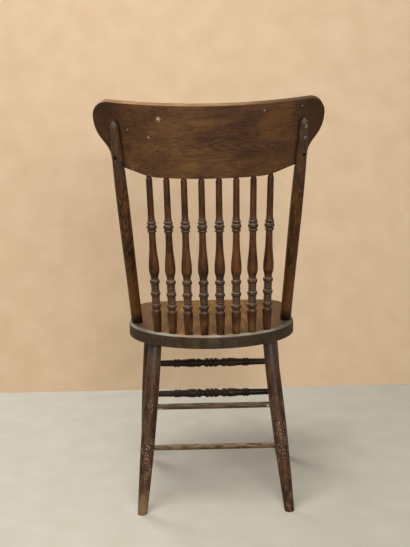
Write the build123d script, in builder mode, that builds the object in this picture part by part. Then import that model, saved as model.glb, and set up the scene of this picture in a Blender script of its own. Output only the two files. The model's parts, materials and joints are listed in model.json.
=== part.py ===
"""Oak side chair: a plank seat, a bent crest rail on two round stiles, turned spindles, legs and rungs.

Millimetres, +Z up. The chair faces -Y and its left side is +X. The origin is on the floor under the middle
of the chair. Every round end is a glued tenon in a blind socket. The stiles are lapped on the crest's back
and held there by screws.
"""

import os
from math import sqrt

from build123d import *

os.makedirs("parts", exist_ok=True)

# Fits
glue_gap = 0.1

# Seat: a plank that slopes down to the back
seat_back_height = 439.5
seat_back_y = 158
seat_slope = 3.4
seat_width = 430
seat_depth = 400
seat_thickness = 33
seat_round_depth = 173
seat_front_width = 416
seat_front_bow = 10
seat_corner_radius = 62
seat_top_rounding = 7
seat_bottom_rounding = 2.5

# Crest rail: a bent board that leans back, with rounded ears and a waist where the stiles cross it
crest_rise = 382.5
crest_set_back = 15.5
crest_lean = 20
crest_bend_radius = 568
crest_thickness = 22
crest_width = 540
crest_height = 174
crest_ear_radius = 38
crest_waist_inset = 39
crest_waist_height = 40
crest_neck_height = 79
crest_wing_inset = 65
crest_wing_height = 19.5
crest_wing_slope = 0.225
crest_wing_run = 40
crest_flat_inset = 152
crest_flat_run = 34
crest_edge_rounding = 2

# Stiles: round posts in the seat's edge, lapped on the crest's back
stile_spacing = 386.4
stile_inset = 156
stile_tip_inset = 50
stile_tip_height = 132.5
stile_tip_stand_off = 7.1
stile_foot_diameter = 28.6
stile_swell_diameter = 29.2
stile_swell_height = 190
stile_neck_diameter = 28.8
stile_neck_length = 140
stile_tip_diameter = 20
stile_point_length = 13
stile_point_middle_diameter = 13.5
stile_point_end_diameter = 4
stile_tenon_depth = 24
stile_straight_foot = 8
stile_lap_below = 8

# Screws through the stiles, placed down from a stile's tip
screw_head_diameter = 8
screw_head_height = 3.6
screw_shank_diameter = 4
screw_length = 27
screw_point_length = 5
screw_point_diameter = 1
screw_slot_width = 1.2
screw_slot_depth = 1.1
screw_tip_drops = (18, 45)
screw_tip_grip = 13
screw_low_drop = 86
screw_low_grip = 9

# Spindles: turned, in a row that follows the seat's round back
spindle_count = 8
spindle_seat_pitch = 38.8
spindle_crest_pitch = 41.2
spindle_inset = 18.5
spindle_seat_tenon = 20
spindle_crest_tenon = 16
spindle_foot_diameter = 18.6
spindle_tenon_diameter = 12
spindle_neck_length = 5
spindle_straight_top = 3
spindle_vase_length = 52.5
spindle_vase_diameter = 24.4
spindle_shoulder_length = 9
spindle_groove_diameter = 18.4
spindle_bead_length = 13.4
spindle_bead_diameter = 24.8
spindle_ring_length = 5.75
spindle_ring_diameter = 20.4
spindle_bulge_rise = 24
spindle_bulge_fall = 92
spindle_bulge_diameter = 26
spindle_bulge_bend = 0.33
spindle_throat_diameter = 16.4
spindle_collar_length = 7.2
spindle_collar_diameter = 22.4
spindle_flare_length = 10
spindle_shaft_diameter = 16.2
spindle_shaft_top_diameter = 15.2

# Legs: plain turnings, thickest above the middle
leg_foot_diameter = 23.5
leg_swell_diameter = 36.4
leg_swell_height = 250
leg_top_diameter = 32.6
leg_tenon_diameter = 24
leg_tenon_depth = 22
leg_trim = 12
rear_leg_spacing = 288
rear_leg_inset = 87
rear_leg_splay = 37.7
rear_leg_rake = 106
front_leg_spacing = 334
front_leg_inset = 64
front_leg_splay = 31
front_leg_rake = 37

# Rungs, each placed down a leg from the seat's underside, upper one first
rung_tenon_stop = 4
rung_tenon_length = 16
rung_socket_reach = 40
front_rung_drops = (138.6, 231)
rear_rung_drops = (166, 267)
side_rung_rear_drops = (203, 305)
side_rung_front_drops = (182, 277)
rear_rung_diameters = (14.4, 13.4)
side_rung_diameter = 15
rung_swell = 0.8
front_rung_end_diameter = 17
front_rung_plain_diameter = 18.6
front_rung_ring_length = 10
front_rung_ring_diameter = 23.4
front_rung_ring_groove_diameter = 20.6
front_rung_neck_diameter = 19.6
front_rung_vase_rise = 37
front_rung_vase_fall = 10
front_rung_vase_diameter = 24.8
front_rung_collar_length = 11.5
front_rung_collar_diameter = 25
front_rung_cove_length = 11.6
front_rung_cove_diameter = 18.2
front_rung_bead_length = 12.4
front_rung_bead_diameter = 25.8
front_rung_groove_diameter = 21.4

# Planes that the pieces share
seat_top = Plane((0, seat_back_y, seat_back_height)).rotated((-seat_slope, 0, 0))
seat_under = seat_top.offset(-seat_thickness)
crest_foot = (0, seat_back_y + crest_set_back, seat_back_height + crest_rise)
crest_plan = Plane(crest_foot).rotated((-crest_lean, 0, 0))
crest_face = Plane(crest_plan.origin, x_dir=crest_plan.x_dir, z_dir=-crest_plan.y_dir)
crest_back_radius = crest_bend_radius + crest_thickness / 2
crest_front_radius = crest_bend_radius - crest_thickness / 2

sides = {"left": 1, "right": -1}


class Stick:
    """A straight turned piece: its two end points and the direction from the first to the second."""

    def __init__(self, start, end):
        self.start = Vector(*start)
        self.end = Vector(*end)
        self.length = (self.end - self.start).length
        self.along = (self.end - self.start).normalized()

    def at(self, distance):
        return self.start + self.along * distance

    def axis(self):
        return Axis(self.start, self.along)

    def reversed(self):
        return Stick(self.end, self.start)

    def profile_plane(self):
        """Plane through the axis: local X is the radius and local Y runs along the piece."""
        across = Plane(self.start, z_dir=self.along).x_dir
        return Plane(self.start, x_dir=across, z_dir=across.cross(self.along))


def draw_turning(diameter, steps):
    """Half outline of a turned piece.

    Each step is a shape, its length, the diameter at its end and a detail. The detail of a bead is the
    diameter at its middle, that of an ogee is how far along it bends, and that of a curve is the points
    it passes.
    """
    radius = diameter / 2
    height = 0
    Line((0, 0), (radius, 0))
    for shape, length, end_diameter, detail in steps:
        end_radius = end_diameter / 2
        end_height = height + length
        if shape == "bead":
            ThreePointArc((radius, height), (detail / 2, height + length / 2), (end_radius, end_height))
        elif shape == "ogee":
            bend = height + length * detail
            Bezier((radius, height), (radius, bend), (end_radius, bend), (end_radius, end_height))
        elif shape == "curve":
            through = [(size / 2, height + distance) for distance, size in detail]
            Spline((radius, height), *through, (end_radius, end_height))
        else:
            Line((radius, height), (end_radius, end_height))
        radius = end_radius
        height = end_height
    if radius > 0:
        Line((radius, height), (0, height))
    Line((0, height), (0, 0))


def turn(stick, diameter, steps):
    """A turned piece on a stick's axis."""
    with BuildPart() as piece:
        with BuildSketch(stick.profile_plane()):
            with BuildLine():
                draw_turning(diameter, steps)
            make_face()
        revolve(axis=stick.axis())
    return piece


def socket(stick, diameter, depth):
    """Cut a blind round hole whose flat bottom is at the stick's start."""
    with Locations(Plane(stick.start, z_dir=stick.along)):
        Cylinder(
            diameter / 2 + glue_gap, depth, align=(Align.CENTER, Align.CENTER, Align.MIN), mode=Mode.SUBTRACT
        )


def bend_depth(x):
    """How far forward the middle of the bent crest lies at x, in the crest's plan."""
    return sqrt(crest_bend_radius**2 - x**2) - crest_bend_radius


def back_edge(x):
    """The seat's round back edge at x, in the seat's plane."""
    return seat_round_depth * (sqrt(1 - (2 * x / seat_width) ** 2) - 1)


# Where the sticks stand

spindle_sticks = []
for number in range(spindle_count):
    place = (spindle_count - 1) / 2 - number
    seat_x = place * spindle_seat_pitch
    crest_x = place * spindle_crest_pitch
    foot = seat_top.from_local_coords((seat_x, back_edge(seat_x) - spindle_inset, 0))
    head = crest_plan.from_local_coords((crest_x, bend_depth(crest_x), spindle_crest_tenon / 2))
    along = (head - foot).normalized()
    spindle_sticks.append(Stick(foot - along * spindle_seat_tenon, head + along * spindle_crest_tenon / 2))

stile_sticks = {}
for side, sign in sides.items():
    foot = seat_top.from_local_coords((sign * stile_spacing / 2, -stile_inset, 0))
    tip_x = crest_width / 2 - stile_tip_inset
    tip_y = sqrt((crest_back_radius + stile_tip_stand_off) ** 2 - tip_x**2) - crest_bend_radius
    tip = crest_plan.from_local_coords((sign * tip_x, tip_y, stile_tip_height))
    along = (tip - foot).normalized()
    stile_sticks[side] = Stick(foot - along * stile_tenon_depth, tip)
stile_length = stile_sticks["left"].length - stile_tenon_depth

leg_sticks = {}
for side, sign in sides.items():
    rear_top = seat_under.from_local_coords((sign * rear_leg_spacing / 2, -rear_leg_inset, 0))
    rear_foot = (rear_top.X + sign * rear_leg_splay, rear_top.Y + rear_leg_rake, 0)
    leg_sticks["rear", side] = Stick(rear_foot, rear_top)
    front_top = seat_under.from_local_coords((sign * front_leg_spacing / 2, front_leg_inset - seat_depth, 0))
    front_foot = (front_top.X + sign * front_leg_splay, front_top.Y - front_leg_rake, 0)
    leg_sticks["front", side] = Stick(front_foot, front_top)


def rung_stick(first_leg, first_drop, second_leg, second_drop):
    """A rung between two legs, whose tenons stop short of the legs' axes."""
    first = first_leg.at(first_leg.length - first_drop)
    second = second_leg.at(second_leg.length - second_drop)
    along = (second - first).normalized()
    return Stick(first + along * rung_tenon_stop, second - along * rung_tenon_stop)


rung_sticks = {}
levels = ("upper", "lower")
for level, front_drop, rear_drop in zip(levels, front_rung_drops, rear_rung_drops):
    rung_sticks["front", level] = rung_stick(
        leg_sticks["front", "left"], front_drop, leg_sticks["front", "right"], front_drop
    )
    rung_sticks["rear", level] = rung_stick(
        leg_sticks["rear", "left"], rear_drop, leg_sticks["rear", "right"], rear_drop
    )
for level, rear_drop, front_drop in zip(levels, side_rung_rear_drops, side_rung_front_drops):
    for side in sides:
        rung_sticks[side, level] = rung_stick(
            leg_sticks["rear", side], rear_drop, leg_sticks["front", side], front_drop
        )

rung_end_diameters = {
    ("front", "upper"): front_rung_end_diameter,
    ("front", "lower"): front_rung_end_diameter,
    ("rear", "upper"): rear_rung_diameters[0],
    ("rear", "lower"): rear_rung_diameters[1],
}
for level in levels:
    for side in sides:
        rung_end_diameters[side, level] = side_rung_diameter


def screw_stick(side, drop, grip):
    """A screw square to the crest's back: it starts at its point and ends at its head."""
    stile = stile_sticks[side]
    on_stile = crest_plan.to_local_coords(stile.at(stile.length - drop))
    centre = Vector(0, -crest_bend_radius, on_stile.Z)
    outward = (on_stile - centre).normalized()
    head_radius = crest_back_radius + grip + screw_head_height
    point = crest_plan.from_local_coords(centre + outward * (head_radius - screw_length))
    head = crest_plan.from_local_coords(centre + outward * head_radius)
    return Stick(point, head)


screw_sticks = {side: [screw_stick(side, screw_low_drop, screw_low_grip)] for side in sides}
for drop in screw_tip_drops:
    screw_sticks["right"].append(screw_stick("right", drop, screw_tip_grip))


def screw_hole(screw):
    """Cut the hole for one screw: its shank, its countersunk head and the well above the head."""
    shank_length = screw_length - screw_head_height
    socket(screw, screw_shank_diameter, shank_length)
    with Locations(Plane(screw.at(shank_length), z_dir=screw.along)):
        Cone(
            screw_shank_diameter / 2 + glue_gap,
            screw_head_diameter / 2 + glue_gap,
            screw_head_height,
            align=(Align.CENTER, Align.CENTER, Align.MIN),
            mode=Mode.SUBTRACT,
        )
    socket(Stick(screw.end, screw.at(2 * screw_length)), screw_head_diameter, stile_swell_diameter)


def finish(piece, name):
    """Name a finished piece and write it."""
    piece.part.label = name
    export_step(piece.part, f"parts/{name}.step")


# Seat

with BuildPart() as seat:
    with BuildSketch(seat_top):
        with BuildLine():
            corner_y = seat_front_bow - seat_depth
            front_left = (seat_front_width / 2, corner_y)
            front_right = (-seat_front_width / 2, corner_y)
            round_back = EllipticalCenterArc(
                (0, -seat_round_depth), seat_width / 2, seat_round_depth, start_angle=0, arc_size=180
            )
            forward = (0, -1)
            TangentArc(round_back @ 0, front_left, tangent=forward)
            TangentArc(round_back @ 1, front_right, tangent=forward)
            ThreePointArc(front_left, (0, -seat_depth), front_right)
        plank = make_face()
        fillet(plank.vertices().group_by(Axis.Y)[0], seat_corner_radius)
    extrude(amount=-seat_thickness)
    broad_faces = seat.faces().filter_by(Axis(seat_top.origin, seat_top.z_dir)).sort_by(Axis.Z)
    under_edges = broad_faces[0].edges()
    fillet(broad_faces[-1].edges(), seat_top_rounding)
    fillet(under_edges, seat_bottom_rounding)
    for stick in spindle_sticks:
        socket(stick, spindle_foot_diameter, 2 * spindle_seat_tenon)
    for stick in stile_sticks.values():
        socket(stick, stile_foot_diameter, 2 * stile_tenon_depth)
    for stick in leg_sticks.values():
        tenon_end = stick.at(stick.length + leg_tenon_depth)
        socket(Stick(tenon_end, stick.start), leg_tenon_diameter, 2 * leg_tenon_depth)
finish(seat, "seat")


# Crest rail

with BuildPart() as crest_rail:
    with BuildSketch(crest_plan):
        with Locations((0, -crest_bend_radius)):
            Circle(crest_back_radius)
            Circle(crest_front_radius, mode=Mode.SUBTRACT)
    extrude(amount=crest_height)
    with BuildSketch(crest_face):
        with BuildLine():
            half_width = crest_width / 2
            waist = (half_width - crest_waist_inset, crest_waist_height)
            wing = (half_width - crest_wing_inset, crest_wing_height)
            flat_end = (half_width - crest_flat_inset, 0)
            ear_height = crest_height - crest_ear_radius
            wing_foot = (wing[0] - crest_wing_run, wing[1] - crest_wing_run * crest_wing_slope)
            wing_reach = (waist[0], wing[1] + (waist[0] - wing[0]) * crest_wing_slope)
            Line((0, 0), flat_end)
            Bezier(flat_end, (flat_end[0] + crest_flat_run, 0), wing_foot, wing)
            Bezier(wing, wing_reach, waist)
            neck = [(waist[0], crest_neck_height), (half_width, crest_neck_height)]
            Bezier(waist, *neck, (half_width, ear_height))
            ear = CenterArc((half_width - crest_ear_radius, ear_height), crest_ear_radius, 0, 90)
            Line(ear @ 1, (0, crest_height))
            mirror(about=Plane.YZ)
        make_face()
    extrude(amount=crest_bend_radius, both=True, mode=Mode.INTERSECT)
    bent_faces = crest_rail.faces().filter_by(GeomType.CYLINDER).sort_by(SortBy.AREA)[-2:]
    fillet(bent_faces.edges(), crest_edge_rounding)
    for stick in spindle_sticks:
        socket(stick.reversed(), spindle_tenon_diameter, 2 * spindle_crest_tenon)
    for screw in screw_sticks["left"] + screw_sticks["right"]:
        screw_hole(screw)
finish(crest_rail, "crest_rail")


# Stiles

stile_steps = [
    ("taper", stile_tenon_depth + stile_straight_foot, stile_foot_diameter, None),
    (
        "curve",
        stile_length - stile_straight_foot - stile_point_length,
        stile_tip_diameter,
        [
            (stile_swell_height - stile_straight_foot, stile_swell_diameter),
            (stile_length - stile_neck_length - stile_straight_foot, stile_neck_diameter),
        ],
    ),
    ("bead", stile_point_length, stile_point_end_diameter, stile_point_middle_diameter),
]
for side, stick in stile_sticks.items():
    with BuildPart() as stile:
        with BuildSketch(stick.profile_plane()):
            with BuildLine():
                draw_turning(stile_foot_diameter, stile_steps)
            make_face()
        revolve(axis=stick.axis())
        with BuildSketch(crest_plan.offset(crest_wing_height - stile_lap_below)):
            with Locations((0, -crest_bend_radius)):
                Circle(crest_back_radius + glue_gap)
        extrude(amount=stile_length, mode=Mode.SUBTRACT)
        for screw in screw_sticks[side]:
            screw_hole(screw)
    finish(stile, f"stile_{side}")


# Screws

screw_steps = [
    ("taper", screw_point_length, screw_shank_diameter, None),
    ("taper", screw_length - screw_point_length - screw_head_height, screw_shank_diameter, None),
    ("taper", screw_head_height, screw_head_diameter, None),
]
with BuildPart() as crest_screws:
    for screw in screw_sticks["left"] + screw_sticks["right"]:
        with BuildSketch(screw.profile_plane()):
            with BuildLine():
                draw_turning(screw_point_diameter, screw_steps)
            make_face()
        revolve(axis=screw.axis())
        with BuildSketch(Plane(screw.end, z_dir=screw.along)):
            Rectangle(2 * screw_head_diameter, screw_slot_width)
        extrude(amount=-screw_slot_depth, mode=Mode.SUBTRACT)
finish(crest_screws, "crest_screws")


# Spindles

even = 0.5
bead = ("bead", spindle_bead_length, spindle_groove_diameter, spindle_bead_diameter)
ring = ("bead", spindle_ring_length, spindle_groove_diameter, spindle_ring_diameter)
collar = ("bead", spindle_collar_length, spindle_groove_diameter, spindle_collar_diameter)
spindle_turnery = [
    ("taper", spindle_seat_tenon, spindle_foot_diameter, None),
    ("taper", spindle_vase_length, spindle_vase_diameter, None),
    ("ogee", spindle_shoulder_length, spindle_groove_diameter, even),
    bead, ring, ring, ring, bead, ring, ring, ring, bead,
    ("ogee", spindle_bulge_rise, spindle_bulge_diameter, even),
    ("ogee", spindle_bulge_fall, spindle_throat_diameter, spindle_bulge_bend),
    collar, bead, collar,
    ("ogee", spindle_flare_length, spindle_shaft_diameter, even),
]
turnery_length = sum(step[1] for step in spindle_turnery)
tenon_length = spindle_crest_tenon + spindle_straight_top
for number, stick in enumerate(spindle_sticks, start=1):
    shaft_length = stick.length - turnery_length - spindle_neck_length - tenon_length
    shaft_steps = [
        ("taper", shaft_length, spindle_shaft_top_diameter, None),
        ("ogee", spindle_neck_length, spindle_tenon_diameter, even),
        ("taper", tenon_length, spindle_tenon_diameter, None),
    ]
    finish(turn(stick, spindle_foot_diameter, spindle_turnery + shaft_steps), f"spindle_{number}")


# Legs

for (end, side), stick in leg_sticks.items():
    blank = Stick(stick.at(-leg_trim), stick.at(stick.length + leg_trim))
    leg_steps = [
        ("taper", leg_trim, leg_foot_diameter, None),
        (
            "curve",
            stick.length,
            leg_top_diameter,
            [(leg_swell_height, leg_swell_diameter)],
        ),
        ("taper", leg_trim, leg_top_diameter, None),
    ]
    with BuildPart() as leg:
        with BuildSketch(blank.profile_plane()):
            with BuildLine():
                draw_turning(leg_foot_diameter, leg_steps)
            make_face()
        revolve(axis=blank.axis())
        split(bisect_by=Plane.XY, keep=Keep.TOP)
        split(bisect_by=seat_under, keep=Keep.BOTTOM)
        with BuildSketch(Plane(stick.at(stick.length - leg_trim), z_dir=stick.along)):
            Circle(leg_tenon_diameter / 2)
        extrude(amount=leg_trim + leg_tenon_depth)
        for place, rung in rung_sticks.items():
            if place[0] in (end, side):
                for tenon in (rung, rung.reversed()):
                    socket(tenon, rung_end_diameters[place], rung_socket_reach)
    finish(leg, f"{end}_leg_{side}")


# Rungs

def mirrored(first_diameter, steps):
    """The same steps from the other end."""
    starts = [first_diameter] + [step[2] for step in steps]
    turned = []
    for (shape, length, _, detail), diameter in zip(steps, starts):
        turned.insert(0, (shape, length, diameter, detail))
    return turned


front_ring = ("bead", front_rung_ring_length, front_rung_ring_groove_diameter, front_rung_ring_diameter)
front_bead = ("bead", front_rung_bead_length, front_rung_groove_diameter, front_rung_bead_diameter)
front_turnery = [
    front_ring,
    ("bead", front_rung_ring_length, front_rung_neck_diameter, front_rung_ring_diameter),
    ("ogee", front_rung_vase_rise, front_rung_vase_diameter, even),
    ("ogee", front_rung_vase_fall, front_rung_groove_diameter, even),
    ("bead", front_rung_collar_length, front_rung_groove_diameter, front_rung_collar_diameter),
    ("bead", front_rung_cove_length, front_rung_groove_diameter, front_rung_cove_diameter),
    front_bead,
]
front_turnery_length = sum(step[1] for step in front_turnery) + front_rung_bead_length / 2
for (place, level), stick in rung_sticks.items():
    end_diameter = rung_end_diameters[place, level]
    tenon = ("taper", rung_tenon_length, end_diameter, None)
    if place == "front":
        plain_length = stick.length / 2 - front_turnery_length - rung_tenon_length
        half = [tenon, ("taper", plain_length, front_rung_plain_diameter, None)] + front_turnery
        steps = half + [front_bead] + mirrored(end_diameter, half)
        name = f"front_rung_{level}"
    else:
        middle_length = stick.length - 2 * rung_tenon_length
        swell = [(middle_length / 2, end_diameter + rung_swell)]
        steps = [tenon, ("curve", middle_length, end_diameter, swell), tenon]
        name = f"rear_rung_{level}" if place == "rear" else f"side_rung_{place}_{level}"
    finish(turn(stick, end_diameter, steps), name)
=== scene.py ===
"""Oak side chair seen from behind: its aged finishes, the carving on its crest, a pale studio and the camera.

Metres, +Z up. The chair faces -Y and the sitter's left is +X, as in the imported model.
"""

import json
from math import acos, asin, cos, exp, hypot, pi, radians, sin

import bpy
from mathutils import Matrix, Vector


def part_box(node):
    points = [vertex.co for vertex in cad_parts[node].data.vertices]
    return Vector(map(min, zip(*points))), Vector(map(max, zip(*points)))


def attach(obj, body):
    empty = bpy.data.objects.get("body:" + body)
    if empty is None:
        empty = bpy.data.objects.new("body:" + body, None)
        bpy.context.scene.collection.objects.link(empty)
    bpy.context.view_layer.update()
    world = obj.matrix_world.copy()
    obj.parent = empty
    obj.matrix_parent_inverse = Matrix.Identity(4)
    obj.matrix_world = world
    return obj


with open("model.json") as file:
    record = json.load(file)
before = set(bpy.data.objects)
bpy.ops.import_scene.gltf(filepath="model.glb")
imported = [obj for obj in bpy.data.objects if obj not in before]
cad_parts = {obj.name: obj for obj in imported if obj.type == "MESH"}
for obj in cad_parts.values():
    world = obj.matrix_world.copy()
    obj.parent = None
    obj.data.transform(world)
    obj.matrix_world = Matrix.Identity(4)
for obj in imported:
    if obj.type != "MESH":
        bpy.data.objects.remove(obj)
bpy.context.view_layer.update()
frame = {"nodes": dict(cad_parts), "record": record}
chair = frame["nodes"]

MM = 0.001


# Colour and nodes


def linear(colour):
    """An sRGB hex colour as linear red, green, blue and alpha."""
    parts = [int(colour[i:i + 2], 16) / 255 for i in (1, 3, 5)]
    return [p / 12.92 if p <= 0.04045 else ((p + 0.055) / 1.055) ** 2.4 for p in parts] + [1.0]


def add(tree, kind, inputs=None, stops=None, **settings):
    """Add a node: its settings, its inputs as values or sockets to link, and a colour ramp's stops."""
    made = tree.nodes.new("ShaderNode" + kind)
    for name, value in settings.items():
        setattr(made, name, value)
    for name, value in (inputs or {}).items():
        if isinstance(value, bpy.types.NodeSocket):
            tree.links.new(value, made.inputs[name])
        else:
            made.inputs[name].default_value = value
    for number, (position, colour) in enumerate(stops or []):
        ramp = made.color_ramp.elements
        stop = ramp[number] if number < 2 else ramp.new(position)
        stop.position = position
        stop.color = linear(colour)
    return made


# Sockets of the Mix node when it mixes colours
MIX_FACTOR, MIX_A, MIX_B, MIX_OUT = 0, 6, 7, 2

# One period of the Wave texture is this share of a unit
WAVE_PERIOD = 2 * pi / 20


def spread(grain, across, along):
    """Mapping scale for a pattern that is so many millimetres wide across the grain and long along it."""
    return [1000 / (along if axis == grain else across) for axis in "XYZ"]


class Oak:
    """Stained oak, open grained and long in use.

    Its growth rings show as streaks along the grain, its pores as fine dark dashes, and its stain has faded
    in patches. Each piece then adds its own wear and dirt, and painted shade and highlights.
    """

    def __init__(self, name, grain, dark, middle, light, blotch=60, streak=5, rings=0.8, pores=0.8):
        self.material = bpy.data.materials.new(name)
        self.material.use_nodes = True
        self.tree = self.material.node_tree
        self.tree.nodes.clear()
        self.grain = grain
        self.place = add(self.tree, "TexCoord").outputs["Object"]
        self.normal = add(self.tree, "NewGeometry").outputs["Normal"]
        # The place in metres, how far it lies to either side, and how far the surface faces up
        self.x, self.y, self.z = add(self.tree, "SeparateXYZ", {"Vector": self.place}).outputs
        self.side = add(self.tree, "Math", {0: self.x}, operation="ABSOLUTE").outputs[0]
        self.up = add(self.tree, "SeparateXYZ", {"Vector": self.normal}).outputs["Z"]

        # Stain that has faded and gathered in patches
        self.blotch = self.figure(blotch, blotch * 1.8, 4, 0.6, 0.0)
        self.colour = add(
            self.tree, "ValToRGB", {"Fac": self.blotch}, [(0.34, dark), (0.66, light), (0.50, middle)]
        ).outputs["Color"]
        # Growth rings cut lengthways, and pores: 0.3 mm in real oak, too fine to show, so drawn 1.6 mm wide
        streaks = self.figure(streak, streak * 18, 3, 0.6, 1.0)
        self.fibre = self.figure(1.6, 34, 3, 0.7, 2.0)
        self.cover("#a08a78", (streaks, 0.54, 0.34, 0.0, rings), blend="MULTIPLY")
        self.cover("#8a7768", (self.fibre, 0.52, 0.32, 0.0, pores), blend="MULTIPLY")

    def figure(self, across, along, detail, roughness, start):
        """Streaks or patches in the wood, so many millimetres wide across the grain and long along it."""
        space = add(
            self.tree, "Mapping",
            {"Vector": self.place, "Scale": spread(self.grain, across, along), "Location": [start] * 3},
        ).outputs[0]
        return add(
            self.tree, "TexNoise", {"Vector": space, "Scale": 1, "Detail": detail, "Roughness": roughness}
        ).outputs["Fac"]

    def arcs(self, centre, around, gap, stretch):
        """Growth rings cut at a slant: pointed arcs that lie along the grain round a centre."""
        unit = gap / WAVE_PERIOD
        scale = spread(self.grain, unit, unit * stretch)
        shift = [-place * size for place, size in zip(centre, scale)]
        space = add(
            self.tree, "Mapping", {"Vector": self.place, "Scale": scale, "Location": shift}
        ).outputs[0]
        return add(
            self.tree, "TexWave",
            {"Vector": space, "Scale": 1, "Distortion": 3.5, "Detail": 3, "Detail Scale": 1.3},
            wave_type="RINGS", rings_direction=around, wave_profile="SIN",
        ).outputs["Fac"]

    def cover(self, colour, *masks, blend="MIX"):
        """Lay a colour over the wood where every mask holds.

        A mask is a value, where on it the colour starts and where it is full, and then, if these are not 0
        and 1, how strong the colour is at each.
        """
        strength = 1.0
        for value, start, full, *ends in masks:
            weak, strong = ends or (0.0, 1.0)
            held = add(
                self.tree, "MapRange",
                {"Value": value, "From Min": start, "From Max": full, "To Min": weak, "To Max": strong},
                interpolation_type="SMOOTHSTEP",
            ).outputs["Result"]
            strength = add(self.tree, "Math", {0: strength, 1: held}, operation="MULTIPLY").outputs[0]
        self.colour = add(
            self.tree, "Mix", {MIX_FACTOR: strength, MIX_A: self.colour, MIX_B: linear(colour)},
            data_type="RGBA", blend_type=blend,
        ).outputs[MIX_OUT]

    def grime_and_painted_shade(self, reach, strength, colour="#20140b"):
        """Dirt and painted shade that gather where surfaces meet: darker where little open air is around."""
        open_air = add(self.tree, "AmbientOcclusion", {"Distance": reach * MM}, samples=8).outputs["AO"]
        self.cover(colour, (open_air, 0.85, 0.35, 0.0, strength))

    def rubbed_and_highlit_edges(self, reach, strength, colour):
        """Wear and a painted highlight where the wood is thin behind the surface, as along its edges."""
        solid = add(
            self.tree, "AmbientOcclusion", {"Distance": reach * MM}, samples=8, inside=True
        ).outputs["AO"]
        self.cover(colour, (solid, 0.9, 0.35, 0.0, strength))

    def scuffs(self, spots, colour):
        """Small knocks through the stain: a ragged patch at each spot, so many millimetres across."""
        ragged = self.figure(3, 3, 2, 0.6, 7.0)
        for spot, size in spots:
            wander = 1.4 * size * MM
            rim, core = 1.18 * size * MM, 0.86 * size * MM
            away = add(
                self.tree, "VectorMath", {0: self.place, 1: spot}, operation="DISTANCE"
            ).outputs["Value"]
            edge = add(
                self.tree, "Math", {0: ragged, 1: wander, 2: away}, operation="MULTIPLY_ADD"
            ).outputs[0]
            self.cover(colour, (edge, rim, core, 0.0, 0.9))

    def finish(self, low_rough, high_rough, gloss, bump=0.35):
        """Wire the surface: a thin old varnish, rougher where it has worn."""
        rough = add(
            self.tree, "MapRange",
            {
                "Value": self.blotch, "From Min": 0.35, "From Max": 0.7,
                "To Min": low_rough, "To Max": high_rough,
            },
            interpolation_type="SMOOTHSTEP",
        ).outputs["Result"]
        height = add(
            self.tree, "Bump", {"Strength": bump, "Distance": 0.5 * MM, "Height": self.fibre}
        ).outputs["Normal"]
        shader = add(
            self.tree, "BsdfPrincipled",
            {
                "Base Color": self.colour, "Roughness": rough, "IOR": 1.5, "Specular IOR Level": gloss,
                "Normal": height,
            },
        ).outputs[0]
        add(self.tree, "OutputMaterial", {"Surface": shader})
        return self.material


# Crest: its board leans back by this much and is bent round an axis in front of it
crest_lean = radians(20)
crest_foot = Vector((0, 0.1735, 0.822))
crest_up = Vector((0, sin(crest_lean), cos(crest_lean)))
crest_back = Vector((0, cos(crest_lean), -sin(crest_lean)))
crest_bend = 0.568
crest_front_bend = 0.557


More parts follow.
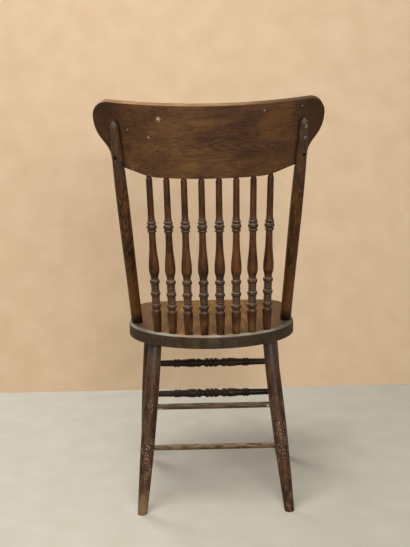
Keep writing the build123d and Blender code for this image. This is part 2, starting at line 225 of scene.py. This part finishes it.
def crest_oak(name, carved):
    """Flat-sawn oak with golden patches, faint pointed arcs and a top edge rubbed bare; painted shade where
    parts meet.
    """
    oak = Oak(name, "X", "#472b17", "#583a20", "#674723", blotch=60, streak=4, rings=0.5, pores=0.7)
    arcs = oak.arcs((-0.16, 0, 0.893), "Y", 4, 8)
    near_arcs = add(
        oak.tree, "VectorMath", {0: oak.place, 1: (-0.065, 0.2, 0.895)}, operation="DISTANCE"
    ).outputs["Value"]
    plain_sawn = oak.figure(60, 80, 2, 0.5, 12.0)
    oak.cover(
        "#a98f74", (arcs, 0.55, 0.1), (near_arcs, 0.12, 0.05, 0.3, 1.0), (plain_sawn, 0.36, 0.56, 0.2, 0.75),
        blend="MULTIPLY",
    )
    oak.cover("#785226", (oak.figure(40, 100, 3, 0.6, 11.0), 0.52, 0.70, 0.0, 0.36))
    oak.cover("#422a18", (oak.figure(44, 120, 3, 0.6, 21.0), 0.54, 0.70, 0.0, 0.42))
    if carved:
        # On the carving: wear and a painted highlight on its thin raised edges, dirt and painted shade on the
        # ground round it
        oak.rubbed_and_highlit_edges(3, 0.6, "#96703f")
        oak.grime_and_painted_shade(8, 0.95, "#160d06")
    else:
        ears = (oak.side, 0.15, 0.245)
        right_wing = ((oak.x, -0.04, -0.09), (oak.x, -0.20, -0.16))
        oak.cover("#b6aa9e", ears, blend="MULTIPLY")
        oak.cover("#e4dcd2", *right_wing, blend="MULTIPLY")
        on_top = add(
            oak.tree, "VectorMath", {0: oak.normal, 1: crest_up}, operation="DOT_PRODUCT"
        ).outputs["Value"]
        streaks = oak.figure(5, 45, 3, 0.6, 3.0)
        rubbed = add(oak.tree, "Math", {0: streaks, 1: 0.5, 2: on_top}, operation="MULTIPLY_ADD").outputs[0]
        bare = (oak.x, -0.18, -0.02, 0.0, 0.78)
        top_edge = (on_top, 0.6, 0.9)
        oak.cover("#8c6640", (rubbed, 0.75, 1.1), bare)
        oak.cover("#b8946a", top_edge, (oak.figure(4, 70, 3, 0.6, 31.0), 0.52, 0.62, 0.0, 0.8), bare)
        oak.cover("#4f341d", top_edge, (oak.figure(4, 90, 3, 0.6, 33.0), 0.54, 0.64, 0.0, 0.7))
        # Where it has been knocked, and how many millimetres across
        knocks = [
            ((0.1165, 0.2214, 0.9562), 11), ((0.1873, 0.1931, 0.9346), 4), ((0.1403, 0.2012, 0.9164), 6),
            ((0.1816, 0.1626, 0.8454), 4), ((0.1837, 0.1639, 0.8508), 3), ((-0.2141, 0.1997, 0.9817), 3),
            ((-0.1249, 0.2247, 0.9705), 4),
        ]
        oak.scuffs(knocks, "#a39c90")
        # Painted shade, with some dirt, where the stiles and the carving meet the board
        oak.grime_and_painted_shade(14, 0.85, "#1a1009")
    return oak.finish(0.45, 0.62, 0.22)


# Seat: seen from above, its back edge is half of an ellipse round this place
seat_half_width = 0.215
seat_round_depth = 0.1727
seat_round_y = -0.0147


def seat_oak():
    """A plank seat: its top warm and rubbed, its rear rim dusty, its edge dark with handling, painted shade
    round its posts.
    """
    oak = Oak("stained oak, seat", "Y", "#5f4018", "#815926", "#986d30", blotch=60, streak=6, rings=0.45)
    oak.cover("#b39d84", (oak.arcs((0.03, 0.4, 0), "Z", 12, 9), 0.5, 0.1, 0.0, 0.45), blend="MULTIPLY")
    oak.cover("#40301d", (oak.side, 0.10, 0.19, 0.0, 0.62))
    # How far out towards the round back edge a place lies, 1 at the edge
    round_space = add(
        oak.tree, "Mapping",
        {
            "Vector": oak.place,
            "Scale": (1 / seat_half_width, 1 / seat_round_depth, 0),
            "Location": (0, -seat_round_y / seat_round_depth, 0),
        },
    ).outputs[0]
    reach = add(oak.tree, "VectorMath", {0: round_space}, operation="LENGTH").outputs["Value"]
    uneven = oak.figure(14, 20, 3, 0.6, 5.0)
    rim = add(oak.tree, "Math", {0: uneven, 1: 0.08, 2: reach}, operation="MULTIPLY_ADD").outputs[0]
    at_back = (oak.y, -0.05, 0.03)
    thick_dust = oak.figure(60, 60, 2, 0.5, 35.0)
    oak.cover("#3a3128", (rim, 0.88, 0.98), at_back, (oak.side, 0.13, 0.18, 0.0, 0.85))
    oak.cover(
        "#969080", (rim, 0.955, 1.01), at_back, (oak.side, 0.19, 0.12, 0.3, 1.0),
        (thick_dust, 0.34, 0.58, 0.5, 0.95),
    )
    wall = (oak.up, 0.60, 0.2)
    underside = (oak.up, -0.3, -0.7)
    oak.cover("#362a20", wall)
    oak.cover("#4d3822", wall, (oak.figure(26, 30, 3, 0.6, 9.0), 0.50, 0.64, 0.0, 0.7))
    oak.cover("#251b12", wall, (oak.figure(30, 34, 3, 0.6, 15.0), 0.52, 0.66, 0.0, 0.8))
    oak.cover("#2a1e14", wall, (oak.side, 0.10, 0.20, 0.0, 0.5))
    oak.cover("#4d3a26", underside)
    # Painted shade, with some dirt, round the feet of the stiles and spindles
    oak.grime_and_painted_shade(18, 0.95, "#140c06")
    return oak.finish(0.45, 0.6, 0.14)


def stile_oak():
    """Posts gone nearly black with age, rubbed to brown streaks, a painted grey highlight at the tips,
    painted shadow at the feet.
    """
    oak = Oak("fumed oak, stiles", "Z", "#2d1806", "#472a0e", "#5f3d16", blotch=36, streak=4)
    oak.cover("#7a5a3a", (oak.figure(4, 90, 3, 0.6, 2.0), 0.55, 0.70, 0.0, 0.6))
    oak.cover("#2a1808", (oak.figure(9, 120, 3, 0.6, 22.0), 0.54, 0.68, 0.0, 0.75))
    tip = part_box("stile_left")[1].z
    lower_post = (oak.z, 0.64, 0.52, 0.0, 0.5)
    behind_crest = (oak.z, 0.76, 0.86, 0.0, 0.45)
    painted_tip_highlight = (oak.z, tip - 13 * MM, tip - 11 * MM, 0.0, 0.9)
    painted_shadow_at_seat = (oak.z, 0.486, 0.456, 0.0, 0.9)
    oak.cover("#5e3c15", lower_post)
    oak.cover("#42352c", behind_crest)
    # A painted grey highlight on the pointed tip
    oak.cover("#433d39", painted_tip_highlight)
    # Painted shadow where the post goes into the seat
    oak.cover("#140b05", painted_shadow_at_seat)
    # Painted shade, with some dirt, where the post meets the crest and the seat
    oak.grime_and_painted_shade(16, 0.9, "#150c05")
    return oak.finish(0.40, 0.6, 0.16)


# Spindles: the heights between which their two groups of beads lie
bead_groups = ((0.503, 0.580), (0.688, 0.728))


def spindle_oak():
    """Turned spindles, dark red-brown, each its own stick; dust and painted highlight on beads, dirt and
    painted shade in grooves.
    """
    oak = Oak("stained oak, spindles", "Z", "#2b1505", "#46280e", "#5e3916", blotch=34, streak=4)
    oak.cover("#5c3212", (oak.figure(36, 900, 1, 0.5, 41.0), 0.50, 0.62, 0.0, 0.4))
    oak.cover("#2b1c12", (oak.figure(28, 70, 3, 0.6, 43.0), 0.54, 0.68, 0.0, 0.6))
    vase = (oak.z, 0.512, 0.498, 0.0, 0.4)
    foot = (oak.z, 0.49, 0.455, 0.0, 0.5)
    thin_shaft = (oak.z, 0.72, 0.80, 0.0, 0.3)
    painted_shade_underneath = (oak.up, -0.08, -0.55, 0.0, 0.85)
    oak.cover("#2a1a0e", vase)
    oak.cover("#6e4a22", foot, (oak.figure(14, 40, 2, 0.5, 47.0), 0.44, 0.62))
    oak.cover("#2c1c11", thin_shaft)
    # Painted shade, with some dirt, on the faces that look down, under the beads and rings
    oak.cover("#150b05", painted_shade_underneath)
    for low, high in bead_groups:
        oak.cover(
            "#413628", (oak.z, low - 8 * MM, low + 4 * MM, 0.0, 0.45), (oak.z, high + 8 * MM, high - 4 * MM)
        )
    # Dust on the upward faces, lightened further as a painted highlight
    oak.cover("#756b59", (oak.up, 0.12, 0.62, 0.0, 0.6), (oak.figure(8, 8, 2, 0.5, 4.0), 0.32, 0.62))
    # Dirt and painted shade in the grooves
    oak.grime_and_painted_shade(8, 0.95, "#120904")
    return oak.finish(0.32, 0.48, 0.2)


def leg_oak():
    """Legs: dark red-brown, a painted grey sheen at the top, chipped to pale specks and rubbed bare towards
    the feet.
    """
    oak = Oak("stained oak, legs", "Z", "#2a180c", "#432a18", "#543924", blotch=34, streak=4)
    painted_sheen_at_top = (oak.z, 0.30, 0.40, 0.0, 0.4)
    # A painted grey sheen on the tops of the legs
    oak.cover("#51463d", painted_sheen_at_top)
    # Wear grows towards the floor
    low = add(
        oak.tree, "MapRange",
        {"Value": oak.z, "From Min": 0.26, "From Max": 0.0, "To Min": 0.0, "To Max": 0.10},
        interpolation_type="SMOOTHSTEP",
    ).outputs["Result"]
    worn = oak.figure(11, 26, 5, 0.75, 6.0)
    rubbed = add(oak.tree, "Math", {0: worn, 1: low}, operation="ADD").outputs[0]
    oak.cover("#785935", (rubbed, 0.61, 0.73, 0.0, 0.7))
    oak.cover("#291912", (oak.figure(10, 60, 4, 0.7, 16.0), 0.58, 0.70, 0.0, 0.7))
    chips = oak.figure(2.4, 3.2, 2, 0.6, 26.0)
    chipped = oak.figure(30, 50, 2, 0.5, 27.0)
    kicked_band = ((oak.z, 0.30, 0.24), (oak.z, 0.06, 0.12))
    oak.cover("#b39c7c", (chips, 0.60, 0.66, 0.0, 0.9), (chipped, 0.40, 0.55), *kicked_band)
    left_foot = ((oak.z, 0.075, 0.01, 0.0, 0.75), (oak.x, -0.05, 0.05))
    oak.cover("#7d6446", *left_foot)
    # Painted shade, with some dirt, under the seat and where the rungs join
    oak.grime_and_painted_shade(14, 0.75)
    return oak.finish(0.38, 0.6, 0.18)


def front_rung_oak():
    """Fancy turned rungs, near black from stain and painted shade, their bead crowns rubbed a little and
    given a painted highlight.
    """
    # Near black: a dark stain made darker still as painted shade from the seat above
    oak = Oak("stained oak, front rungs", "X", "#190c03", "#291809", "#3a240f", blotch=40, streak=4)
    # Bead crowns: rubbed a little, lightened further as a painted highlight
    oak.cover("#6b5642", (oak.up, 0.35, 0.95, 0.0, 0.35))
    # Painted shade, with some dirt, in the grooves
    oak.grime_and_painted_shade(5, 0.9, "#0e0804")
    return oak.finish(0.32, 0.5, 0.2)


def rear_rung_oak():
    """Plain rungs: the upper one grey with dust, the lower one rubbed golden with flecks of stain left."""
    oak = Oak("worn oak, rear rungs", "X", "#33291e", "#483b2d", "#5a4c3b", blotch=30, streak=3)
    lower = (oak.z, 0.22, 0.18)
    oak.cover("#6e583a", lower)
    oak.cover("#33231a", lower, (oak.figure(3.5, 16, 4, 0.7, 8.0), 0.46, 0.56, 0.0, 0.9))
    worn = oak.figure(5, 40, 4, 0.7, 18.0)
    rubbed = add(oak.tree, "Math", {0: oak.up, 1: 0.25, 2: worn}, operation="MULTIPLY_ADD").outputs[0]
    oak.cover("#98805f", (rubbed, 0.66, 0.84, 0.0, 0.7))
    oak.cover("#33271b", (oak.figure(5, 60, 3, 0.6, 19.0), 0.54, 0.68, 0.0, 0.75))
    knocks = [((0.135, 0.118, 0.246), 14), ((-0.135, 0.118, 0.250), 9)]
    oak.scuffs(knocks, "#b5a383")
    # Painted shade, with some dirt, where the rungs meet the legs
    oak.grime_and_painted_shade(8, 0.8)
    return oak.finish(0.45, 0.66, 0.2)


def side_rung_oak():
    """Plain side rungs, rubbed along the top."""
    oak = Oak("stained oak, side rungs", "Y", "#38281c", "#52402f", "#64503c", blotch=36, streak=4)
    worn = oak.figure(5, 30, 4, 0.7, 28.0)
    rubbed = add(oak.tree, "Math", {0: oak.up, 1: 0.25, 2: worn}, operation="MULTIPLY_ADD").outputs[0]
    oak.cover("#86694a", (rubbed, 0.72, 0.86, 0.0, 0.8))
    # Painted shade, with some dirt, where the rungs meet the legs
    oak.grime_and_painted_shade(8, 0.8)
    return oak.finish(0.45, 0.66, 0.3)


def screw_steel():
    """Plain steel screws gone dull: grey, freckled brown with rust, and black with dirt and painted shade
    down a deep hole.
    """
    material = bpy.data.materials.new("dull steel")
    material.use_nodes = True
    tree = material.node_tree
    tree.nodes.clear()
    place = add(tree, "TexCoord").outputs["Object"]
    freckle = add(tree, "TexNoise", {"Vector": place, "Scale": 1000 / 1.5, "Detail": 2}).outputs["Fac"]
    colour = add(tree, "ValToRGB", {"Fac": freckle}, [(0.45, "#8e8b85"), (0.7, "#5d4a3a")]).outputs["Color"]
    # Dirt and painted shade: darker where the head sits deep in its hole
    open_air = add(tree, "AmbientOcclusion", {"Distance": 14 * MM}, samples=8).outputs["AO"]
    dirt_and_hole_shade = add(tree, "MapRange", {"Value": open_air, "From Min": 0.75, "From Max": 0.4}).outputs["Result"]
    colour = add(
        tree, "Mix", {MIX_FACTOR: dirt_and_hole_shade, MIX_A: colour, MIX_B: linear("#120c08")}, data_type="RGBA"
    ).outputs[MIX_OUT]
    shader = add(
        tree, "BsdfPrincipled", {"Base Color": colour, "Metallic": 0.85, "Roughness": 0.48}
    ).outputs[0]
    add(tree, "OutputMaterial", {"Surface": shader})
    return material


finishes = {
    "seat": seat_oak(),
    "crest": crest_oak("stained oak, crest", False),
    "stile": stile_oak(),
    "spindle": spindle_oak(),
    "leg": leg_oak(),
    "front_rung": front_rung_oak(),
    "rear_rung": rear_rung_oak(),
    "side_rung": side_rung_oak(),
    "screw": screw_steel(),
}
for part in frame["record"]["subparts"]:
    piece = chair[part["node"]]
    for slot in piece.material_slots:
        slot.material = finishes[part["material_slot"]]


# Carving on the crest's front, modelled flat in millimetres: X across the board, Y up it and Z out of it

carving_oak = crest_oak("stained oak, carving", True)
# How deep a carved piece is let into the board
SINK = 0.6


def leaf(base, heading, length, width, rise, bend=0, lobes=0, hollow=0.5, swell=0.8):
    """One carved leaf or petal: a ball drawn out along a curved rib, with lobed edges and a hollow middle.

    A swell above 1 makes it widest towards its tip.
    """
    bpy.ops.object.select_all(action="DESELECT")
    bpy.ops.mesh.primitive_uv_sphere_add(segments=20, ring_count=14 + 8 * lobes, radius=1)
    piece = bpy.context.object
    steps = 24
    rib = [Vector(base)]
    for step in range(steps):
        angle = radians(heading + bend * (step + 0.5) / steps)
        rib.append(rib[-1] + Vector((cos(angle), sin(angle))) * length / steps)
    for point in piece.data.vertices:
        along = acos(max(-1, min(1, -point.co.z))) / pi
        girth = hypot(point.co.x, point.co.y)
        across = point.co.x / girth if girth > 1e-6 else 0
        outward = point.co.y / girth if girth > 1e-6 else 0
        # Width along the rib, waved by the lobes, and height, with a groove down the middle
        half_width = width / 2 * sin(pi * along**swell) ** 0.8
        half_width *= 1 + 0.2 * cos(2 * pi * lobes * along) if lobes else 1
        crown = rise * sin(pi * along**0.65) ** 0.6
        crown *= 1 - hollow * exp(-((across / 0.35) ** 2))
        number = min(int(along * steps), steps - 1)
        centre = rib[number].lerp(rib[number + 1], along * steps - number)
        angle = radians(heading + bend * along)
        sideways = Vector((-sin(angle), cos(angle))) * half_width * across
        height = crown * outward if outward > 0 else SINK * outward
        point.co = (*(centre + sideways), height)
    return piece


def channel_profile():
    """Outline of a carved stem cut across: two rounded rails with a channel between, 1 unit to each side."""
    bpy.ops.object.select_all(action="DESELECT")
    bpy.ops.curve.primitive_nurbs_circle_add()
    piece = bpy.context.object
    rails = [(1, -0.25), (1, 0.35), (0.8, 0.8), (0.5, 0.85), (0.25, 0.5), (0, 0.4)]
    ring = rails + [(-x, y) for x, y in reversed(rails[:-1])]
    piece.data.splines.clear()
    outline = piece.data.splines.new("POLY")
    outline.points.add(len(ring) - 1)
    for point, place in zip(outline.points, ring):
        point.co = (*place, 0, 1)
    outline.use_cyclic_u = True
    return piece


def stem(points, wide, thin, profile=None, closed=False):
    """A carved stem or moulding along a line of points, thinner towards its far end."""
    bpy.ops.object.select_all(action="DESELECT")
    bpy.ops.curve.primitive_nurbs_path_add()
    piece = bpy.context.object
    line = piece.data
    line.dimensions = "2D"
    line.fill_mode = "NONE"
    line.splines.clear()
    run = line.splines.new("NURBS")
    run.points.add(len(points) - 1)
    for number, (point, place) in enumerate(zip(run.points, points)):
        point.co = (*place, 0, 1)
        point.radius = wide + (thin - wide) * number / (len(points) - 1)
    run.use_cyclic_u = closed
    run.order_u = 4
    run.use_endpoint_u = not closed
    run.resolution_u = 5
    if profile:
        line.bevel_mode = "OBJECT"
        line.bevel_object = profile
    else:
        line.bevel_depth = 1
        line.bevel_resolution = 3
    line.use_fill_caps = not closed
    bpy.ops.object.convert(target="MESH")
    return bpy.context.object


def volute(centre, outer, inner, start, turns):
    """Points of a spiral that rolls up round a centre. Turns below zero roll up clockwise."""
    steps = round(12 * abs(turns))
    points = []
    for step in range(steps + 1):
        share = step / steps
        radius = outer * (inner / outer) ** share
        angle = radians(start + 360 * turns * share)
        points.append((centre[0] + radius * cos(angle), centre[1] + radius * sin(angle)))
    return points


def boss(centre, radius, rise):
    """A round button with a shoulder."""
    bpy.ops.object.select_all(action="DESELECT")
    bpy.ops.mesh.primitive_uv_sphere_add(segments=32, ring_count=20, radius=1)
    piece = bpy.context.object
    for point in piece.data.vertices:
        girth = hypot(point.co.x, point.co.y)
        dish = 1 - 0.45 * exp(-(((girth - 0.62) / 0.09) ** 2))
        height = rise * point.co.z * dish if point.co.z > 0 else SINK * point.co.z
        point.co = (centre[0] + radius * point.co.x, centre[1] + radius * point.co.y, height)
    return piece


def join(pieces, name):
    """Make several pieces one object."""
    bpy.ops.object.select_all(action="DESELECT")
    for piece in pieces:
        piece.select_set(True)
    bpy.context.view_layer.objects.active = pieces[0]
    bpy.ops.object.join()
    joined = bpy.context.object
    joined.name = name
    return joined


def mend(piece):
    """Merge doubles and turn every face outwards."""
    bpy.ops.object.select_all(action="DESELECT")
    piece.select_set(True)
    bpy.context.view_layer.objects.active = piece
    bpy.ops.object.mode_set(mode="EDIT")
    bpy.ops.mesh.select_all(action="SELECT")
    bpy.ops.mesh.remove_doubles(threshold=1e-6)
    bpy.ops.mesh.normals_make_consistent(inside=False)
    bpy.ops.object.mode_set(mode="OBJECT")


def lay_on_crest(piece):
    """Bend a flat carving on to the crest's hollow front and give it its finish and its body."""
    for point in piece.data.vertices:
        x, up, out = (value * MM for value in point.co)
        reach = crest_front_bend - out
        turn = asin(x / crest_front_bend)
        forward = crest_back * (reach * cos(turn) - crest_bend)
        point.co = crest_foot + Vector((reach * sin(turn), 0, 0)) + forward + crest_up * up
    mend(piece)
    bpy.ops.object.shade_smooth_by_angle(angle=radians(50))
    piece.data.materials.clear()
    piece.data.materials.append(carving_oak)
    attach(piece, "root")


def mirrored(piece, name):
    """A copy on the other side of the chair, with its own mesh."""
    bpy.ops.object.select_all(action="DESELECT")
    piece.select_set(True)
    bpy.context.view_layer.objects.active = piece
    bpy.ops.object.duplicate()
    copy = bpy.context.object
    copy.name = name
    for point in copy.data.vertices:
        point.co.x = -point.co.x
    return copy


# Two beads that follow the crest's outline
half_border = [
    (0, 13), (40, 13), (80, 13), (115, 13.5), (140, 17.5), (165, 23.8), (190, 29.5), (206, 33.5), (215, 39),
    (219, 48), (222, 60), (229, 74), (240, 89), (249, 101), (255, 116), (257.5, 136), (251, 154), (234, 162),
    (200, 161), (150, 161), (100, 161), (50, 161), (0, 161),
]
ring = half_border + [(-x, y) for x, y in reversed(half_border[1:-1])]
border_middle = 87
inner_ring = [(x * 0.968, border_middle + (y - border_middle) * 0.91) for x, y in ring]
border = join([stem(ring, 2.6, 2.6, closed=True), stem(inner_ring, 1.2, 1.2, closed=True)], "carved_border")

# A fan of petals that springs from a button
fan_foot = (0, 46)
petals = []
for number in range(9):
    heading = 14 + number * 19
    length = 62 + 16 * sin(radians(heading)) ** 2
    petals.append(leaf(fan_foot, heading, length, 19, 6, swell=1.7))
for number in range(5):
    heading = -140 + number * 25
    petals.append(leaf(fan_foot, heading, 27, 13, 5, swell=1.5))
fan = join(petals + [boss(fan_foot, 13, 7.5)], "carved_fan")

# Scrolls and leaves on the left, with a copy on the right
profile = channel_profile()
main_volute = volute((128, 86), 33, 7, -100, 1.7)
outer_volute = volute((188, 74), 21, 5, -100, 1.6)
upper_volute = volute((186, 128), 19, 5, 90, -1.6)
sprays = [
    stem([(16, 38), (34, 44), (58, 60), (84, 62), (106, 54)] + main_volute, 6.6, 3.6, profile),
    stem([(112, 50), (124, 38), (144, 36), (164, 46), (176, 54)] + outer_volute, 5, 2.8, profile),
    stem([(58, 134), (84, 144), (112, 149), (142, 150), (166, 149)] + upper_volute, 5, 2.8, profile),
    boss((128, 86), 8.5, 6.5),
    boss((188, 74), 6.5, 5.5),
    boss((186, 128), 6.5, 5.5),
    leaf((48, 56), 74, 54, 25, 6, bend=36, lobes=4),
    leaf((82, 64), 112, 56, 24, 6, bend=-50, lobes=4),
    leaf((38, 46), -20, 60, 21, 5.5, bend=22, lobes=4),
    leaf((94, 54), -36, 50, 19, 5.5, bend=40, lobes=3),
    leaf((144, 37), -8, 58, 18, 5.5, bend=26, lobes=4),
    leaf((152, 104), 70, 36, 18, 5.5, bend=36, lobes=3),
    leaf((163, 94), 6, 50, 19, 5.5, bend=50, lobes=3),
    leaf((92, 143), -30, 44, 17, 5, bend=-34, lobes=3),
    leaf((60, 134), 198, 44, 17, 5, bend=-30, lobes=3),
    leaf((126, 149), -60, 28, 13, 5, bend=-30, lobes=2),
]
scrolls = join(sprays, "carved_scrolls_left")
scrolls_right = mirrored(scrolls, "carved_scrolls_right")

# A round flower on each ear
flower_centre = (229, 133)
flower = []
for number in range(8):
    flower.append(leaf(flower_centre, number * 45, 18, 14, 5, swell=1.5))
flower.append(boss(flower_centre, 6.5, 6.2))
rosette = join(flower, "carved_rosette_left")
rosette_right = mirrored(rosette, "carved_rosette_right")

for carving in (border, fan, scrolls, scrolls_right, rosette, rosette_right):
    lay_on_crest(carving)
bpy.data.objects.remove(profile)


# Studio: a pale floor that fades into the pale surroundings and a backdrop, both clear when seen from behind

stage_size = 12
backdrop_y = -0.95
fade_start = 1.6
fade_end = 3.4


def seen_rays(tree):
    """1 for the rays that show a background: from the camera, by a reflection or through glass."""
    path = add(tree, "LightPath").outputs
    seen = path["Is Camera Ray"]
    for ray in ("Is Glossy Ray", "Is Transmission Ray"):
        seen = add(tree, "Math", {0: seen, 1: path[ray]}, operation="MAXIMUM").outputs[0]
    return seen


def paint(name, colour, only_seen):
    """Matt paint with a faint mottle a hand wide. It is clear from behind and fades far from the chair.

    One that is only seen neither lights nor shades what stands near it.
    """
    material = bpy.data.materials.new(name)
    material.use_nodes = True
    tree = material.node_tree
    tree.nodes.clear()
    place = add(tree, "TexCoord").outputs["Object"]
    mottle = add(tree, "TexNoise", {"Vector": place, "Scale": 1000 / 90, "Detail": 3}).outputs["Fac"]
    shade = add(tree, "ValToRGB", {"Fac": mottle}, [(0.3, "#f6f3ef"), (0.7, "#ffffff")]).outputs["Color"]
    colour = add(
        tree, "Mix", {MIX_FACTOR: 1.0, MIX_A: linear(colour), MIX_B: shade},
        data_type="RGBA", blend_type="MULTIPLY",
    ).outputs[MIX_OUT]
    surface = add(tree, "BsdfPrincipled", {"Base Color": colour, "Roughness": 0.75}).outputs[0]
    fade = add(tree, "NewGeometry").outputs["Backfacing"]
    far = add(tree, "VectorMath", {0: place}, operation="LENGTH").outputs["Value"]
    far = add(
        tree, "MapRange", {"Value": far, "From Min": fade_start, "From Max": fade_end}
    ).outputs["Result"]
    fade = add(tree, "Math", {0: fade, 1: far}, operation="MAXIMUM").outputs[0]
    if only_seen:
        unseen = add(tree, "Math", {0: 1.0, 1: seen_rays(tree)}, operation="SUBTRACT").outputs[0]
        fade = add(tree, "Math", {0: fade, 1: unseen}, operation="MAXIMUM").outputs[0]
    clear = add(tree, "BsdfTransparent").outputs[0]
    surface = add(tree, "MixShader", {0: fade, 1: surface, 2: clear}).outputs[0]
    add(tree, "OutputMaterial", {"Surface": surface})
    return material


bpy.ops.object.select_all(action="DESELECT")
bpy.ops.mesh.primitive_plane_add(size=stage_size)
floor = bpy.context.object
floor.name = "studio_floor"
floor.data.materials.append(paint("matt floor paint", "#c3bdae", False))

bpy.ops.object.select_all(action="DESELECT")
bpy.ops.mesh.primitive_plane_add(
    size=stage_size, location=(0, backdrop_y, 0), rotation=(radians(-90), 0, 0)
)
backdrop = bpy.context.object
backdrop.name = "studio_backdrop"
backdrop.data.materials.append(paint("matt backdrop paint", "#d9bd9c", True))


def lamp(name, place, aim, size, power):
    """A round soft lamp."""
    bpy.ops.object.light_add(type="AREA", location=place)
    made = bpy.context.object
    made.name = name
    made.data.shape = "DISK"
    made.data.size = size
    made.data.energy = power
    made.rotation_euler = (Vector(aim) - Vector(place)).to_track_quat("-Z", "Y").to_euler()


lamp("key_light", (0.7, 1.2, 2.9), (0, 0.1, 0.5), 1.8, 62)
lamp("fill_light", (-0.5, 3.2, 1.5), (0, 0.1, 0.6), 1.4, 60)
lamp("front_light", (1.7, -2.2, 2.0), (0, 0, 0.6), 1.6, 44)

world = bpy.data.worlds.new("studio")
bpy.context.scene.world = world
world.use_nodes = True
tree = world.node_tree
tree.nodes.clear()
light = add(tree, "Background", {"Color": linear("#fbf7f0"), "Strength": 0.24}).outputs[0]
seen = add(tree, "Background", {"Color": linear("#e2d6c5"), "Strength": 1.0}).outputs[0]
sky = add(tree, "MixShader", {0: seen_rays(tree), 1: light, 2: seen}).outputs[0]
add(tree, "OutputWorld", {"Surface": sky})


# Camera: where the photograph was taken from, straight behind the chair and looking a little down

camera_place = (0.03408, 2.09924, 0.85181)
# Degrees: its tilt, 90 being level, its lean to one side, and its turn, 180 being straight along -Y
camera_tilt = 82.4076
camera_lean = 1.0887
camera_turn = 179.318
bpy.ops.object.camera_add(
    location=camera_place, rotation=(radians(camera_tilt), radians(camera_lean), radians(camera_turn))
)
camera = bpy.context.object
camera.name = "photo_camera"
camera.data.sensor_width = 36
camera.data.lens = 53.74
bpy.context.scene.camera = camera
bpy.context.scene.view_settings.view_transform = "Standard"

bpy.context.view_layer.update()
